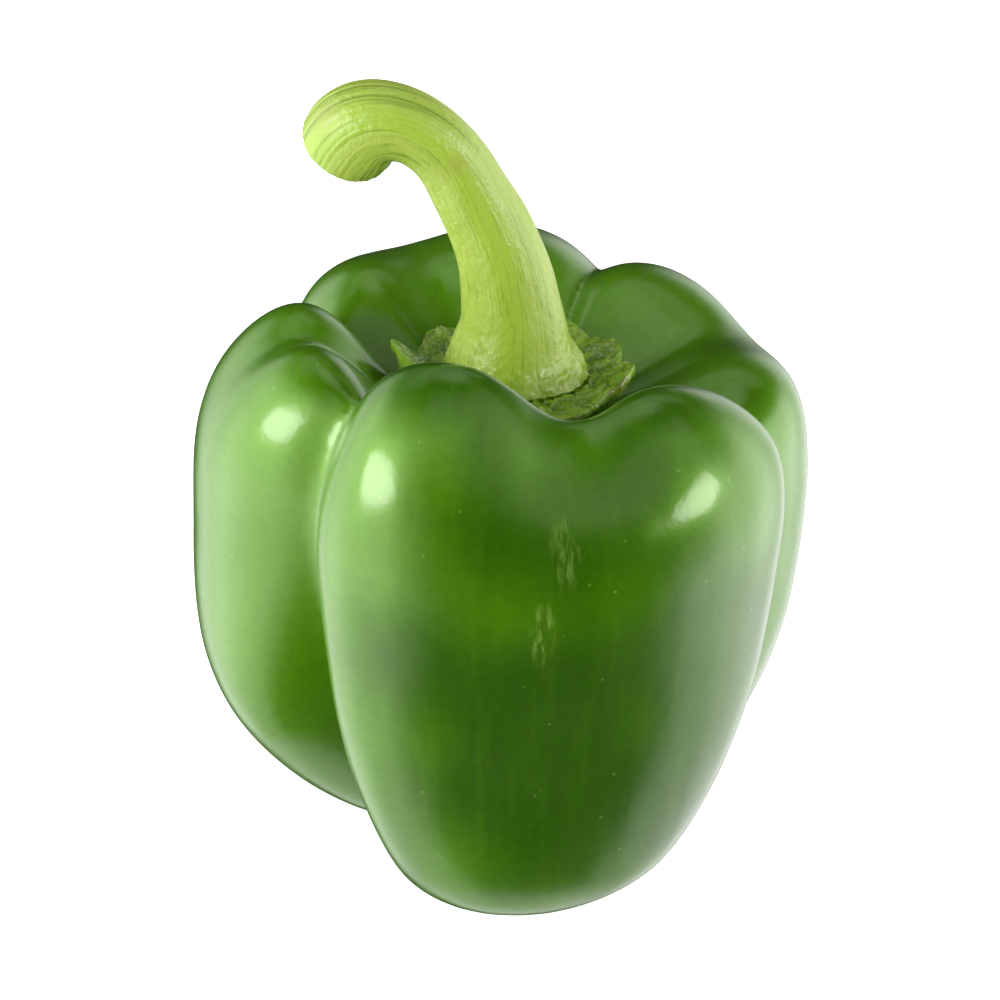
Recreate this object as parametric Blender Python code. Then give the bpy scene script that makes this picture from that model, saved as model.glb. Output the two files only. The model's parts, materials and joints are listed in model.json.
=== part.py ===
"""A green bell pepper standing on its four lobes: the fruit, the calyx in its crown, and the curved cut stem.

Each of the three pieces starts as a UV sphere, whose vertices are moved onto the piece's own surface. The surface
is a function of the azimuth (counterclockwise from +X, so the front, -Y, is -90 degrees) and of a fraction that
runs from the sphere's upper pole, 0, to its lower pole, 1. Lengths below are in millimetres, angles in degrees.
"""
import math

import bmesh
import bpy
import numpy as np

MM = 0.001

# The fruit's growing axis in the frame, which puts the whole pepper's bounding box centre at x = y = 0
AXIS_X = 1.7
AXIS_Y = -2.3

# The fruit before its grooves: rings from the crown's floor, over the crest and down to the middle of the base.
# Each ring has its radius and its height towards the front, the right, the back and the left.
SEAT_Z = 70.3
SEAT_RADIUS = 13.0
RING_RADII = (
    (0.0, 0.0, 0.0, 0.0),
    (SEAT_RADIUS, SEAT_RADIUS, SEAT_RADIUS, SEAT_RADIUS),
    (24.5, 30.0, 29.0, 29.0),
    (36.5, 42.0, 44.0, 42.5),
    (39.0, 45.0, 40.0, 47.0),
    (35.5, 39.0, 36.0, 40.0),
    (25.4, 20.0, 21.5, 15.0),
    (8.0, 8.0, 8.0, 8.0),
    (0.0, 0.0, 0.0, 0.0),
)
RING_HEIGHTS = (
    (SEAT_Z, SEAT_Z, SEAT_Z, SEAT_Z),
    (SEAT_Z, SEAT_Z, SEAT_Z, SEAT_Z),
    (88.0, 78.0, 81.0, 84.5),
    (73.5, 73.5, 75.5, 75.5),
    (50.5, 53.0, 51.0, 51.5),
    (22.0, 19.5, 24.0, 17.3),
    (0.0, 0.0, 0.0, 0.0),
    (7.0, 7.0, 7.0, 7.0),
    (9.0, 9.0, 9.0, 9.0),
)
RING_AZIMUTHS = (-90.0, 0.0, 90.0, 180.0)
# The way in which a groove presses at each ring, from the horizontal: down at the crown, inwards at the belly and
# up at the base
PRESS_ANGLES = (-90.0, -90.0, -92.0, -140.0, -178.0, -188.0, -240.0, -268.0, -270.0)

# Grooves pressed into the fruit: azimuth at the crown and at the base, half width to its left, as seen from outside, at
# the crown and at the base, half width to its right, sharpness (1 a crease, 2 a soft dip), the depths on the crest, on
# the shoulder, at the belly and at the base, and the share by which it is wider at the belly than on the crest.
# The four deep ones part the lobes, and the four soft ones dip the crest in the middle of each lobe.
GROOVES = (
    (-138.0, -146.5, 17.0, 8.5, 9.5, 1.2, 8.0, 9.2, 10.5, 11.5, 0.0),
    (-8.0, -17.0, 13.0, 13.0, 13.0, 1.2, 7.5, 8.3, 8.0, 6.5, 0.0),
    (68.0, 70.5, 11.0, 11.0, 11.0, 1.1, 5.5, 6.3, 7.0, 7.0, 0.0),
    (152.5, 150.0, 12.5, 12.5, 12.5, 1.2, 10.0, 9.2, 5.5, 7.0, 0.0),
    (-72.0, -75.0, 22.0, 22.0, 22.0, 2.0, 8.5, 3.2, 0.2, 0.0, 0.5),
    (28.0, 25.5, 23.0, 23.0, 23.0, 1.6, 6.5, 5.0, 0.0, 0.0, 0.0),
    (116.0, 114.0, 17.0, 17.0, 17.0, 2.0, 3.2, 2.3, 1.0, 0.0, 0.0),
    (-173.0, -172.0, 9.0, 9.0, 9.0, 1.6, 3.0, 1.2, 0.0, 0.0, 0.5),
)
# Fractions down the profile between which a groove's left half width changes
NARROWING_START = 0.42
NARROWING_END = 0.66
CREASE_ROUNDING = 0.15
FOOT_SINK = 0.7

# The calyx: azimuth, tip radius and tip height of each tooth
TEETH = (
    (-11.0, 17.3, 75.8),
    (24.0, 16.4, 74.9),
    (60.0, 16.4, 74.2),
    (100.0, 15.5, 74.2),
    (138.0, 15.8, 74.9),
    (181.0, 17.2, 78.7),
    (-122.0, 15.4, 75.6),
    (-64.0, 16.8, 73.9),
)
TOOTH_HALF_WIDTH = 28.0
CALYX_GAP_RADIUS = 14.5
CALYX_EDGE_Z = 73.0
CALYX_TOP_Z = 72.9
CALYX_FLAT_RADIUS = 10.8
CALYX_BASE_Z = SEAT_Z + 0.4
CALYX_CLEARANCE = 0.75
CALYX_RIM = 0.6

# The stem: centres along it, from the fruit's axis, and the radius at each
STEM_X = (0.1, -0.1, 0.0, -0.3, -1.4, -3.8, -6.1, -8.6, -12.3, -16.2, -19.4, -21.7, -23.1)
STEM_Y = (1.0, 0.9, 0.7, 0.6, 0.3, 0.1, -0.1, -0.2, -0.1, 0.4, 1.4, 2.6, 4.0)
STEM_Z = (73.3, 76.4, 80.8, 84.3, 90.3, 97.0, 101.6, 106.0, 109.7, 111.0, 110.3, 108.3, 106.0)
STEM_RADII = (10.7, 9.0, 7.5, 6.9, 6.25, 5.6, 5.25, 5.0, 4.95, 5.45, 6.2, 6.5, 6.3)
STEM_DEPTH = 0.95
STEM_RIBS = 6
STEM_RIB_HEIGHT = 0.035
STEM_CUT_BULGE = 0.6

FRUIT_AROUND = 84
FRUIT_ALONG = 48
CALYX_AROUND = 70
CALYX_ALONG = 14
STEM_AROUND = 24
STEM_ALONG = 34


def spline(knots, values, where):
    """Values of the cubic spline with continuous curvature through (knots, values), at where; ends are straight."""
    gaps = np.diff(knots)
    count = len(knots)
    system = np.eye(count)
    slopes = np.zeros(count)
    for i in range(1, count - 1):
        system[i, i - 1] = gaps[i - 1]
        system[i, i] = 2.0 * (gaps[i - 1] + gaps[i])
        system[i, i + 1] = gaps[i]
        slopes[i] = 6.0 * (
            (values[i + 1] - values[i]) / gaps[i] - (values[i] - values[i - 1]) / gaps[i - 1]
        )
    bend = np.linalg.solve(system, slopes)
    k = np.clip(np.searchsorted(knots, where, side="right") - 1, 0, count - 2)
    a = (knots[k + 1] - where) / gaps[k]
    b = 1.0 - a
    curve = (a**3 - a) * bend[k] + (b**3 - b) * bend[k + 1]
    return a * values[k] + b * values[k + 1] + curve * gaps[k] ** 2 / 6.0


def wrapped(angle):
    """The same angle in degrees, brought between -180 and 180."""
    return (angle + 180.0) % 360.0 - 180.0


def smooth(low, high, value):
    """0 below low, 1 above high, and a smooth rise with level ends in between."""
    t = np.clip((value - low) / (high - low), 0.0, 1.0)
    return t * t * (3.0 - 2.0 * t)


def around_weights(azimuth):
    """How much the front, right, back and left values count at this azimuth; the four add up to 1."""
    return [max(0.0, math.cos(math.radians(azimuth - side))) ** 2 for side in RING_AZIMUTHS]


def ring_knots():
    """Fractions at which the rings lie: their mean distances along the profile, scaled to end at 1."""
    radii = np.mean(RING_RADII, axis=1)
    heights = np.mean(RING_HEIGHTS, axis=1)
    steps = np.hypot(np.diff(radii), np.diff(heights))
    return np.concatenate([[0.0], np.cumsum(steps)]) / steps.sum()


def fruit_meridian(azimuth, fractions):
    """Points of the fruit's surface at one azimuth: the rings' profile with the grooves pressed in."""
    knots = ring_knots()
    share = around_weights(azimuth)
    ring_r = np.array(RING_RADII) @ share
    ring_z = np.array(RING_HEIGHTS) @ share
    r = spline(knots, ring_r, fractions)
    z = spline(knots, ring_z, fractions)
    push = np.radians(spline(knots, np.array(PRESS_ANGLES), fractions))
    depth_knots = np.array([0.0, knots[1], knots[2], knots[3], knots[4], knots[6], 1.0])
    press = np.zeros_like(r)
    widened = smooth(knots[2], knots[4], fractions)
    narrowed = smooth(NARROWING_START, NARROWING_END, fractions)
    for crown_az, base_az, left, left_base, right, sharp, crown, shoulder, belly, base, spread in GROOVES:
        line = crown_az + (base_az - crown_az) * fractions
        off = wrapped(azimuth - line)
        off = off / np.where(off < 0.0, left + (left_base - left) * narrowed, right)
        off = off / (1.0 + spread * widened)
        shape = (off**2 + CREASE_ROUNDING**2) ** (sharp / 2.0) - CREASE_ROUNDING**sharp
        depths = np.array([0.0, 0.5 * crown, crown, shoulder, belly, base, 0.0])
        press += np.maximum(spline(depth_knots, depths, fractions), 0.0) * np.exp(-shape)
    r = np.maximum(r + press * np.cos(push), 0.0)
    z = np.maximum(z + press * np.sin(push) - FOOT_SINK, 0.0)
    angle = math.radians(azimuth)
    return np.stack([r * math.cos(angle), r * math.sin(angle), z], axis=1)


def fruit_point(azimuth, fraction):
    """One point of the fruit; at the two poles the grooves and the azimuth no longer count."""
    point = fruit_meridian(azimuth, np.array([fraction]))[0]
    if fraction in (0.0, 1.0):
        point[:2] = 0.0
    return point


def tooth_share(azimuth):
    """How far this azimuth is into a tooth, 0 between teeth and 1 on a tooth's middle, and that tooth."""
    distance = [abs(wrapped(azimuth - tooth[0])) for tooth in TEETH]
    nearest = min(range(len(TEETH)), key=lambda i: distance[i])
    share = max(0.0, 1.0 - distance[nearest] / TOOTH_HALF_WIDTH)
    return share * share * (3.0 - 2.0 * share), TEETH[nearest]


def crown_height(azimuth, radius):
    """Height of the fruit's crown at this azimuth and radius, inside the crest."""
    wall = fruit_meridian(azimuth, np.linspace(0.0, ring_knots()[2], 60))
    return np.interp(radius, np.hypot(wall[:, 0], wall[:, 1]), wall[:, 2]) + FOOT_SINK


def calyx_point(azimuth, fraction):
    """The calyx: its top from the middle out to the toothed edge, and its underside back along the crown."""
    share, tooth = tooth_share(azimuth)
    edge = CALYX_GAP_RADIUS + (tooth[1] - CALYX_GAP_RADIUS) * share
    top = CALYX_EDGE_Z + (tooth[2] - CALYX_EDGE_Z) * share
    if fraction <= 0.5:
        r = edge * math.sin(math.pi * fraction)
        lift = max(0.0, (r - CALYX_FLAT_RADIUS) / (edge - CALYX_FLAT_RADIUS)) ** 1.5
        z = CALYX_TOP_Z + (top - CALYX_TOP_Z) * lift
    else:
        r = (edge - CALYX_RIM) * math.sin(math.pi * fraction)
        z = max(CALYX_BASE_Z, crown_height(azimuth, r) + CALYX_CLEARANCE)
    angle = math.radians(azimuth)
    return np.array([r * math.cos(angle), r * math.sin(angle), z - FOOT_SINK])


def stem_point(azimuth, fraction):
    """The stem: a flat base, rounded ribbed sections set square to the centreline, and a slightly domed cut end."""
    centres = np.array([STEM_X, STEM_Y, STEM_Z])
    spans = np.linalg.norm(np.diff(centres, axis=1), axis=0)
    knots = np.concatenate([[0.0], np.cumsum(spans)]) / spans.sum()
    cap = 3.0 / STEM_ALONG
    along = min(max((fraction - cap) / (1.0 - 2.0 * cap), 0.0), 1.0)
    near = np.array([along, max(along - 0.01, 0.0), min(along + 0.01, 1.0)])
    path = np.array([spline(knots, row, near) for row in centres])
    tangent = path[:, 2] - path[:, 1]
    if along < 0.02:
        tangent = np.array([0.0, 0.0, 1.0])
    tangent = tangent / np.linalg.norm(tangent)
    side = np.cross(tangent, (0.0, 1.0, 0.0))
    side = side / np.linalg.norm(side)
    depth = np.cross(side, tangent)
    radius = spline(knots, np.array(STEM_RADII), np.array([along]))[0]
    angle = math.radians(azimuth)
    radius *= 1.0 + STEM_RIB_HEIGHT * math.cos(STEM_RIBS * angle)
    inward = 1.0
    bulge = 0.0
    if fraction < cap:
        inward = fraction / cap
    if fraction > 1.0 - cap:
        inward = (1.0 - fraction) / cap
        bulge = STEM_CUT_BULGE * (1.0 - inward**2)
    section = math.cos(angle) * side + STEM_DEPTH * math.sin(angle) * depth
    point = path[:, 0] + radius * inward * section + bulge * tangent
    return point - np.array([0.0, 0.0, FOOT_SINK])


def plain_material(name, colour, roughness):
    """A Principled material of one colour."""
    material = bpy.data.materials.new(name)
    material.use_nodes = True
    shader = material.node_tree.nodes["Principled BSDF"]
    shader.inputs["Base Color"].default_value = (*colour, 1.0)
    shader.inputs["Roughness"].default_value = roughness
    shader.inputs["Metallic"].default_value = 0.0
    return material


def moved_sphere(name, around, along, place, from_below, colour, roughness, collection):
    """A piece made from a UV sphere with each vertex moved to place(azimuth, fraction)."""
    work = bmesh.new()
    bmesh.ops.create_uvsphere(work, u_segments=around, v_segments=along, radius=1.0)
    for vertex in work.verts:
        fraction = round(math.acos(max(-1.0, min(1.0, vertex.co.z))) / math.pi * along) / along
        azimuth = math.degrees(math.atan2(vertex.co.y, vertex.co.x))
        if fraction in (0.0, 1.0):
            azimuth = 0.0
        if from_below:
            fraction = 1.0 - fraction
        x, y, z = place(azimuth, fraction)
        vertex.co = ((x + AXIS_X) * MM, (y + AXIS_Y) * MM, z * MM)
    bmesh.ops.triangulate(work, faces=work.faces)
    bmesh.ops.recalc_face_normals(work, faces=work.faces)
    mesh = bpy.data.meshes.new(name)
    work.to_mesh(mesh)
    work.free()
    mesh.shade_smooth()
    mesh.materials.append(plain_material(name + "_material", colour, roughness))
    piece = bpy.data.objects.new(name, mesh)
    collection.objects.link(piece)
    return piece


def main():
    """Empties the scene and builds the three pieces in one collection."""
    for old in list(bpy.data.objects):
        bpy.data.objects.remove(old)
    collection = bpy.data.collections.new("bell_pepper")
    bpy.context.scene.collection.children.link(collection)
    moved_sphere(
        "fruit", FRUIT_AROUND, FRUIT_ALONG, fruit_point, False, (0.05, 0.2, 0.01), 0.2, collection
    )
    moved_sphere(
        "calyx", CALYX_AROUND, CALYX_ALONG, calyx_point, False, (0.12, 0.27, 0.02), 0.4, collection
    )
    moved_sphere(
        "stem", STEM_AROUND, STEM_ALONG, stem_point, True, (0.42, 0.6, 0.12), 0.4, collection
    )


main()
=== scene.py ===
"""A green bell pepper on a pale studio floor: the ribbed glossy fruit, the wrinkled calyx in its crown and
the curved cut stem.

Every piece is a surface over two parameters, worked out in millimetres and put into its mesh in metres. The
azimuth runs counterclockwise from +X, so the front, -Y, is -90 degrees. The fruit's fraction runs from the
middle of its crown, 0, over the crest and down to the middle of its base, 1.
"""

import json
import math

import bpy
import numpy as np
from bpy.props import FloatProperty, FloatVectorProperty, PointerProperty
from bpy.types import Operator, Panel, PropertyGroup
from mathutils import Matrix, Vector

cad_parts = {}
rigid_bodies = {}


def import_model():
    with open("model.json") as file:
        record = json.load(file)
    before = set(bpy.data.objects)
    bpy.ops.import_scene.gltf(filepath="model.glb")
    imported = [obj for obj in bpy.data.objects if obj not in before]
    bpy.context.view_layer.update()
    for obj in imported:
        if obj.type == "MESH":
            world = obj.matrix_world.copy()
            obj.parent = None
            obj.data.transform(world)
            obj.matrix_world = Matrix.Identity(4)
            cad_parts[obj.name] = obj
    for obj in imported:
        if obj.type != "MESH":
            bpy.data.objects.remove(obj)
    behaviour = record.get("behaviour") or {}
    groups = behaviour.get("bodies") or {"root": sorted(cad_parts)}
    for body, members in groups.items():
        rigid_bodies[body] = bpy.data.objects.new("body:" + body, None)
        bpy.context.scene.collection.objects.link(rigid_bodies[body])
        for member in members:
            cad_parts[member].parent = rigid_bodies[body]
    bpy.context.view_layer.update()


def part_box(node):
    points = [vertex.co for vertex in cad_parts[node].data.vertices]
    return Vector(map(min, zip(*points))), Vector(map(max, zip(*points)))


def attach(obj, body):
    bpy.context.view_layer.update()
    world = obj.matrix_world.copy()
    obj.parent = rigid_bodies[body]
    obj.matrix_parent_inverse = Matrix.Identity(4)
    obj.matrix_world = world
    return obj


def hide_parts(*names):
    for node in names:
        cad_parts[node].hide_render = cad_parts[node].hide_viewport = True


bl_info = {
    "name": "Bell pepper",
    "version": (1, 0, 0),
    "blender": (4, 5, 0),
    "location": "3D View > Sidebar > Pepper",
    "description": "Builds a green bell pepper with its calyx and stem, and the studio round it",
    "category": "Add Mesh",
}

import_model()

MM = 0.001
FULL_TURN = 360.0
HALF_PI = math.pi / 2.0
WHITE = (1.0, 1.0, 1.0)

# Soft waves are given as a share, a mean length in millimetres and a seed. Soft edges are a pair of values
# between which a surface changes, and a soft band is two such pairs: it sets in over the first and ends over
# the second. A field of waves adds up this many sines, whose lengths spread about the mean by these shares.
# Its peak is about this many times the root of their count, and is brought to 1.
WAVE_COUNT = 14
WAVE_SPREAD = (0.6, 1.6)
WAVE_PEAK = 1.4

# --- Shape of the fruit, in millimetres and degrees ---

# Where the growing axis stands in the frame, how far the feet are cut flat, and a point in the fruit's middle
AXIS_X = 1.7
AXIS_Y = -2.3
FOOT_SINK = 0.7
FRUIT_MIDDLE = (0.0, 0.0, 45.0)

# Rings from the crown's floor over the crest to the middle of the base: the radius and the height of each to
# the front, right, back and left
SEAT_Z = 70.3
RING_RADII = (
    (0.0, 0.0, 0.0, 0.0),
    (13.0, 13.0, 13.0, 13.0),
    (24.5, 30.0, 29.0, 29.0),
    (36.5, 42.0, 44.0, 42.5),
    (39.0, 45.0, 40.0, 47.0),
    (35.5, 39.0, 36.0, 40.0),
    (25.4, 20.0, 21.5, 15.0),
    (8.0, 8.0, 8.0, 8.0),
    (0.0, 0.0, 0.0, 0.0),
)
RING_HEIGHTS = (
    (SEAT_Z, SEAT_Z, SEAT_Z, SEAT_Z),
    (SEAT_Z, SEAT_Z, SEAT_Z, SEAT_Z),
    (88.0, 78.0, 81.0, 84.5),
    (73.5, 73.5, 75.5, 75.5),
    (50.5, 53.0, 51.0, 51.5),
    (22.0, 19.5, 24.0, 17.3),
    (0.0, 0.0, 0.0, 0.0),
    (7.0, 7.0, 7.0, 7.0),
    (9.0, 9.0, 9.0, 9.0),
)
RING_AZIMUTHS = (-90.0, 0.0, 90.0, 180.0)
# The way a groove presses at each ring, from the horizontal: down on the crown, in at the belly and up at
# the base
PRESS_ANGLES = (-90.0, -90.0, -92.0, -140.0, -178.0, -188.0, -240.0, -268.0, -270.0)

# Grooves: azimuth at the crown and at the base, half width to its left, as seen from outside, at the crown
# and at the base, half width to its right, sharpness (1 a crease, 2 a soft dip), depths on the crest, on the
# shoulder, at the belly and at the base, and the share by which it is wider at the belly than on the crest.
# The first four part the lobes, and the others dip the crest inside a lobe.
GROOVES = (
    (-138.0, -146.5, 17.0, 8.5, 9.5, 1.2, 8.0, 9.2, 10.5, 11.5, 0.0),
    (-8.0, -17.0, 13.0, 13.0, 13.0, 1.2, 7.5, 8.3, 8.0, 6.5, 0.0),
    (68.0, 70.5, 11.0, 11.0, 11.0, 1.1, 5.5, 6.3, 7.0, 7.0, 0.0),
    (152.5, 150.0, 12.5, 12.5, 12.5, 1.2, 10.0, 9.2, 5.5, 7.0, 0.0),
    (-72.0, -75.0, 22.0, 22.0, 22.0, 2.0, 8.5, 3.2, 0.2, 0.0, 0.5),
    (28.0, 25.5, 23.0, 23.0, 23.0, 1.6, 6.5, 5.0, 0.0, 0.0, 0.0),
    (116.0, 114.0, 17.0, 17.0, 17.0, 2.0, 3.2, 2.3, 1.0, 0.0, 0.0),
    (-173.0, -172.0, 9.0, 9.0, 9.0, 1.6, 3.0, 1.2, 0.0, 0.0, 0.5),
)
LOBE_GROOVES = 4
# Fractions down the profile between which a groove's left half width changes
NARROWING = (0.42, 0.66)
CREASE_ROUNDING = 0.15

# The grid's columns and rows. How much denser the columns are at a groove and the rows at the crest, over
# this width in degrees or in fractions, and the steps that the density is added up in.
FRUIT_AROUND = 500
FRUIT_ALONG = 196
GROOVE_FOCUS = 3.0
GROOVE_FOCUS_WIDTH = 4.0
CROWN_FOCUS = 1.5
CROWN_FOCUS_PLACE = 0.2
CROWN_FOCUS_WIDTH = 0.12
DENSITY_STEPS = 4001

# Relief of the skin: slow waves, and ribs of four counts round the fruit that sway on their way down. Both
# are lowered by the same share, and they set in over a soft edge of the radius.
SLOW_WAVES = ((0.6, 26.0, 11), (0.25, 11.0, 12))
RIB_COUNTS = (13, 19, 29, 43)
RIB_SEED = 5
RIB_SWAY = 1.6
RIB_BENDS = 3.0
RELIEF_LEVEL = 0.3
RELIEF_EDGE = (4.0, 14.0)

# The puckered seam at the top of a groove: its band of fractions, the least radius that its distances are
# worked out on, the stretch of its puckers along and across, their wave, its width and its depth without and
# with a pucker
SEAM_BAND = (0.07, 0.12, 0.22, 0.42)
SEAM_LEAST_RADIUS = 6.0
PUCKER_STRETCH = (1.8, 4.0)
PUCKER_WAVES = (0.5, 1.6, 21)
SEAM_WIDTH = (0.55, 0.5)
SEAM_SHARE = (0.45, 0.75)

# Painted shade: a darker green is painted down the middle of the front lobe and round the crest to stand for
# shade, and the skin's own darker tone lies in patches all over. Given are the azimuth of the front lobe's
# middle, the bands of fractions on its upper and lower part and on the crest, how far each must face the
# front lobe's way, how much of it the upper part and the crest keep, how far in millimetres it stays off the
# grooves, and how patchy it and the rest are
FRONT_LOBE = -78.0
UPPER_BAND = (0.20, 0.26, 0.4, 0.6)
LOWER_BAND = (0.14, 0.48, 0.68, 0.84)
CREST_BAND = (0.17, 0.23, 0.25, 0.31)
UPPER_FACING = (0.84, 0.96)
LOWER_FACING = (0.45, 0.98)
CREST_FACING = (0.0, 0.9)
UPPER_SHARE = 0.9
CREST_SHARE = (0.2, 0.65)
LOBE_CLEARANCE = (3.0, 15.0)
CREST_CLEARANCE = (0.0, 4.0)
PATCH_WAVES = (0.5, 22.0, 31)
PATCH_IN_SHADE = (0.75, 0.35)
PATCH_ELSEWHERE = 0.25
PATCH_LEVEL = 0.1

# Dull scuffs on the skin: their middles, how far they reach to the side and up or down, and how many times
# their reach to the side they reach in depth. Patterns that run down the skin are drawn on this radius.
SCUFFS = (
    (8.5, -35.6, 64.0, 3.4, 7.0),
    (5.5, -39.5, 54.0, 2.4, 7.0),
)
SCUFF_DEPTH = 2.5
SKIN_UNWRAPPED_RADIUS = 40.0

# --- Shape of the calyx, in millimetres and degrees ---

# Azimuth, tip radius and tip height of each tooth of the calyx
TEETH = (
    (-11.0, 17.3, 75.8),
    (24.0, 16.4, 74.9),
    (60.0, 16.4, 74.2),
    (100.0, 15.5, 74.2),
    (138.0, 15.8, 74.9),
    (181.0, 17.2, 78.7),
    (-122.0, 15.4, 75.6),
    (-64.0, 16.8, 73.9),
)
TOOTH_HALF_WIDTH = 28.0
CALYX_GAP_RADIUS = 14.5
CALYX_EDGE_Z = 73.0
CALYX_TOP_Z = 72.9
CALYX_FLAT_RADIUS = 10.8
CALYX_BASE_Z = SEAT_Z + 0.4
CALYX_AROUND = 420
CALYX_ALONG = 150
# Shares of the rows that the top takes, and of the rest that the wall takes
CALYX_TOP_SHARE = 0.62
CALYX_WALL_SHARE = 0.4
# The wall between the teeth and on a tooth, its bulge and its lean, the gap over the fruit's crown, the steps
# that the crown is read in, the soft edge over which the underside leaves the wall, and the power by which
# the top lifts towards the edge
CALYX_WALL = 1.5
CALYX_TOOTH_WALL = 2.3
CALYX_BULGE = 0.25
CALYX_LEAN = 0.5
CALYX_GAP = 0.35
CALYX_CROWN_STEPS = 60
CALYX_FALL = (0.0, 0.35)
CALYX_LIFT_POWER = 1.3
# The ragged edge, as waves round a ring of this radius
CALYX_RING = 15.0
CALYX_RAGGED = ((0.25, 5.0, 31), (0.12, 1.8, 32))
# Folds that run round the stem: their pitch, the waves that bend and shift them, and their power and level
FOLD_PITCH = 2.6
FOLD_BEND = ((1.5, 7.0, 41), (0.9, 3.0, 45))
FOLD_SHIFT = ((0.8, 5.0, 42),)
FOLD_POWER = 1.4
FOLD_LEVEL = 0.62
# The shares of the folds, of the ribs that run outwards and of the grain. The ribs are waves over the azimuth
# and the radius, each stretched.
FOLD_SHARE = 0.5
SPOKE_STRETCH = (6.0, 5.0)
SPOKE_WAVES = (0.35, 2.2, 43)
GRAIN_WAVES = (0.2, 0.8, 44)
# The relief sets in outside the stem's foot, and is calmer towards the edge. The rim is the edge of this
# width, and the underside gets this share of the painted shade of the creases.
FOLD_EDGE = (6.0, 9.0)
FOLD_CALM = 0.55
FOLD_CALM_EDGE = (0.75, 1.0)
CALYX_RIM = 0.8
CALYX_RIM_EDGE = (0.4, 0.55)
CALYX_UNDER_SHADE = 0.7

# --- Shape of the stem, in millimetres, and in radians where it is said ---

# Centres along the stem, from the growing axis, and the radius at each
STEM_X = (0.1, -0.1, 0.0, -0.3, -1.4, -3.8, -6.1, -8.6, -12.3, -16.2, -19.4, -21.7, -23.1)
STEM_Y = (1.0, 0.9, 0.7, 0.6, 0.3, 0.1, -0.1, -0.2, -0.1, 0.4, 1.4, 2.6, 4.0)
STEM_Z = (73.3, 76.4, 80.8, 84.3, 90.3, 97.0, 101.6, 106.0, 109.7, 111.0, 110.3, 108.3, 106.0)
STEM_RADII = (10.7, 9.0, 7.5, 6.9, 6.25, 5.6, 5.25, 5.0, 4.95, 5.45, 6.2, 6.5, 6.3)
STEM_DEPTH = 0.95
STEM_RIM = 0.9
STEM_DISH = 0.7
STEM_AROUND = 216
STEM_ALONG = 380
STEM_FOOT_ROWS = 8
STEM_RIM_ROWS = 8
STEM_FACE_ROWS = 15
# The share of the stem that its direction is taken over, and over which its foot turns upright
STEM_REACH = 0.01
STEM_UPRIGHT = (0.0, 0.04)
# Soft ridges: their count, their place and the twist from foot to tip in radians, and how they fade
STEM_RIDGES = 5.0
STEM_RIDGE_PHASE = 0.4
STEM_TWIST = 0.5
RIDGE_FADE = 0.9
RIDGE_EDGE = (0.2, 0.65)
# Where the fibres grow, where the pebbles and the ragged foot end, and the level that the foot is lowered by
TIP_EDGE = (0.55, 0.85)
PEBBLE_EDGE = (0.05, 0.45)
FOOT_EDGE = (0.0, 0.11)
SKIRT_LEVEL = 0.4
# The least share of the fibres, of the pebbles and of the painted shade in the fibres' hollows, and that
# shade's whole share
FIBRE_LEAST = 0.15
PEBBLE_LEAST = 0.4
HOLLOW_SHADE_LEAST = 0.25
HOLLOW_SHADE_SHARE = 0.8
# Waves on the stem: share, radius they run round on, stretch of the run, mean length and seed
FIBRE_WAVES = ((0.8, 6.0, 0.03, 1.1, 51), (0.4, 6.0, 0.05, 0.6, 52))
PEBBLE_WAVES = (1.0, 9.0, 1.0, 1.1, 53)
SWELL_WAVES = (0.08, 7.0, 1.0, 10.0, 54)
SKIRT_WAVES = (1.0, 10.0, 1.4, 1.5, 55)
# Waves on the cut face, and the radius that the fibres are drawn on
FACE_WAVES = (0.10, 1.3, 56)
FIBRE_RADIUS = 6.0
# The side that the green stripe is on, in degrees
STRIPE_ANGLE = -92.0
# Brownish flushes on the stem: their middles, reach and strength
FLUSHES = (
    (-6.0, -5.6, 106.0, 2.6, 0.55),
    (-24.0, -4.0, 112.0, 3.0, 0.3),
)


# --- Sums that every surface uses ---


def spline(knots, values, where):
    """The natural cubic spline through (knots, values), at where: its curvature is continuous and its ends
    are straight."""
    knots = np.asarray(knots, float)
    values = np.asarray(values, float)
    gaps = np.diff(knots)
    count = len(knots)
    system = np.eye(count)
    slopes = np.zeros(count)
    for i in range(1, count - 1):
        system[i, i - 1 : i + 2] = gaps[i - 1], 2.0 * (gaps[i - 1] + gaps[i]), gaps[i]
        slopes[i] = 6.0 * ((values[i + 1] - values[i]) / gaps[i] - (values[i] - values[i - 1]) / gaps[i - 1])
    bend = np.linalg.solve(system, slopes)
    k = np.clip(np.searchsorted(knots, where, side="right") - 1, 0, count - 2)
    a = (knots[k + 1] - where) / gaps[k]
    b = 1.0 - a
    curve = (a**3 - a) * bend[k] + (b**3 - b) * bend[k + 1]
    return a * values[k] + b * values[k + 1] + curve * gaps[k] ** 2 / 6.0


def wrapped(angle):
    """The same angle, brought between -180 and 180 degrees."""
    return (angle + 180.0) % FULL_TURN - 180.0


def between(low, high, share):
    """low where share is 0, high where it is 1, and in proportion in between."""
    return low + (high - low) * share


def smooth(low, high, value):
    """0 below low, 1 above high, and a smooth rise with level ends in between."""
    t = np.clip((value - low) / (high - low), 0.0, 1.0)
    return t * t * (3.0 - 2.0 * t)


def band(edges, value):
    """1 between two soft edges and 0 outside them."""
    return smooth(*edges[:2], value) * (1.0 - smooth(*edges[2:], value))


def waves(points, length, seed):
    """A soft random field, about -1 to 1, over points in millimetres: a sum of sine waves of that mean
    length, each with its own random direction and phase."""
    draw = np.random.default_rng(seed)
    ways = draw.normal(size=(WAVE_COUNT, points.shape[-1]))
    ways /= np.linalg.norm(ways, axis=1)[:, None]
    lengths = length * draw.uniform(*WAVE_SPREAD, WAVE_COUNT)
    phases = draw.uniform(0.0, 2.0 * math.pi, WAVE_COUNT)
    total = np.zeros(points.shape[:-1])
    for way, one, phase in zip(ways, lengths, phases):
        total += np.sin(points @ way * (2.0 * math.pi / one) + phase)
    return total / math.sqrt(WAVE_COUNT) / WAVE_PEAK


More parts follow.
